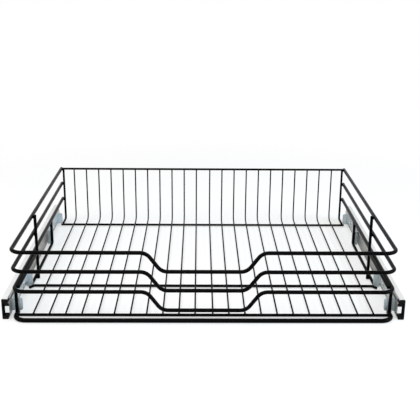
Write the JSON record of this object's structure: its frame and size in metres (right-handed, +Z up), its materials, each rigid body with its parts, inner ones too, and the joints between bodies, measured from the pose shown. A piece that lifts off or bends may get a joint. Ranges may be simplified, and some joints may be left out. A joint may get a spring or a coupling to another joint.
{
  "type": "pull out cabinet basket",
  "caption": "Wide black wire basket with a dipped front and a wire back, carried by zinc brackets on full-extension ball-bearing cabinet runners.",
  "frame": {"origin": "bottom centre of the closed basket and its runners", "axes": "+X across the cabinet, +Y towards the cabinet's back, +Z up; the basket pulls out along -Y"},
  "size_m": [0.664, 0.515, 0.1243],
  "materials": {
    "black_coated_wire": "gloss",
    "zinc_plated_steel": "satin",
    "bright_steel": "polished",
    "black_plastic": "matte"
  },
  "bodies": {
    "cabinet_side": {"cabinet_member_left": "zinc_plated_steel", "cabinet_member_right": "zinc_plated_steel", "rear_bumper_left": "black_plastic", "rear_bumper_right": "black_plastic"},
    "basket": {"top_rail": "black_coated_wire", "middle_rail": "black_coated_wire", "lower_rail": "black_coated_wire", "front_base_rail": "black_coated_wire", "front_floor_wire": "black_coated_wire", "cross_bar": "black_coated_wire", "floor_wires": "black_coated_wire", "back_top_rail": "black_coated_wire", "back_bottom_rail": "black_coated_wire", "corner_post_left": "black_coated_wire", "corner_post_right": "black_coated_wire", "side_post_left": "black_coated_wire", "side_post_right": "black_coated_wire", "front_riser_left": "black_coated_wire", "front_riser_right": "black_coated_wire", "side_base_wire_left": "black_coated_wire", "side_base_wire_right": "black_coated_wire", "inner_side_wire_left": "black_coated_wire", "inner_side_wire_right": "black_coated_wire", "front_bracket_left": "zinc_plated_steel", "front_bracket_right": "zinc_plated_steel", "rear_bracket_left": "zinc_plated_steel", "rear_bracket_right": "zinc_plated_steel", "bracket_screws": "bright_steel", "drawer_member_left": "zinc_plated_steel", "drawer_member_right": "zinc_plated_steel", "drawer_plug_left": "black_plastic", "drawer_plug_right": "black_plastic"},
    "middle_slide_left": {"middle_member_left": "zinc_plated_steel", "middle_cap_left": "black_plastic"},
    "outer_ball_row_left": {"outer_cage_left": "black_plastic", "outer_balls_left": "bright_steel"},
    "inner_ball_row_left": {"inner_cage_left": "black_plastic", "inner_balls_left": "bright_steel"},
    "middle_slide_right": {"middle_member_right": "zinc_plated_steel", "middle_cap_right": "black_plastic"},
    "outer_ball_row_right": {"outer_cage_right": "black_plastic", "outer_balls_right": "bright_steel"},
    "inner_ball_row_right": {"inner_cage_right": "black_plastic", "inner_balls_right": "bright_steel"}
  },
  "joints": [
    {"name": "basket_pull_out", "type": "slide", "parent": "cabinet_side", "child": "basket", "axis": [0, -1, 0], "range_m": [0, 0.5]},
    {"name": "middle_member_run_left", "type": "slide", "parent": "cabinet_side", "child": "middle_slide_left", "axis": [0, -1, 0], "range_m": [0, 0.25]},
    {"name": "outer_ball_run_left", "type": "slide", "parent": "cabinet_side", "child": "outer_ball_row_left", "axis": [0, -1, 0], "range_m": [0, 0.125]},
    {"name": "inner_ball_run_left", "type": "slide", "parent": "cabinet_side", "child": "inner_ball_row_left", "axis": [0, -1, 0], "range_m": [0, 0.375]},
    {"name": "middle_member_run_right", "type": "slide", "parent": "cabinet_side", "child": "middle_slide_right", "axis": [0, -1, 0], "range_m": [0, 0.25]},
    {"name": "outer_ball_run_right", "type": "slide", "parent": "cabinet_side", "child": "outer_ball_row_right", "axis": [0, -1, 0], "range_m": [0, 0.125]},
    {"name": "inner_ball_run_right", "type": "slide", "parent": "cabinet_side", "child": "inner_ball_row_right", "axis": [0, -1, 0], "range_m": [0, 0.375]}
  ],
  "couplings": [
    {"joint": "middle_member_run_left", "follows": "basket_pull_out", "ratio": 0.5},
    {"joint": "outer_ball_run_left", "follows": "basket_pull_out", "ratio": 0.25},
    {"joint": "inner_ball_run_left", "follows": "basket_pull_out", "ratio": 0.75},
    {"joint": "middle_member_run_right", "follows": "basket_pull_out", "ratio": 0.5},
    {"joint": "outer_ball_run_right", "follows": "basket_pull_out", "ratio": 0.25},
    {"joint": "inner_ball_run_right", "follows": "basket_pull_out", "ratio": 0.75}
  ]
}
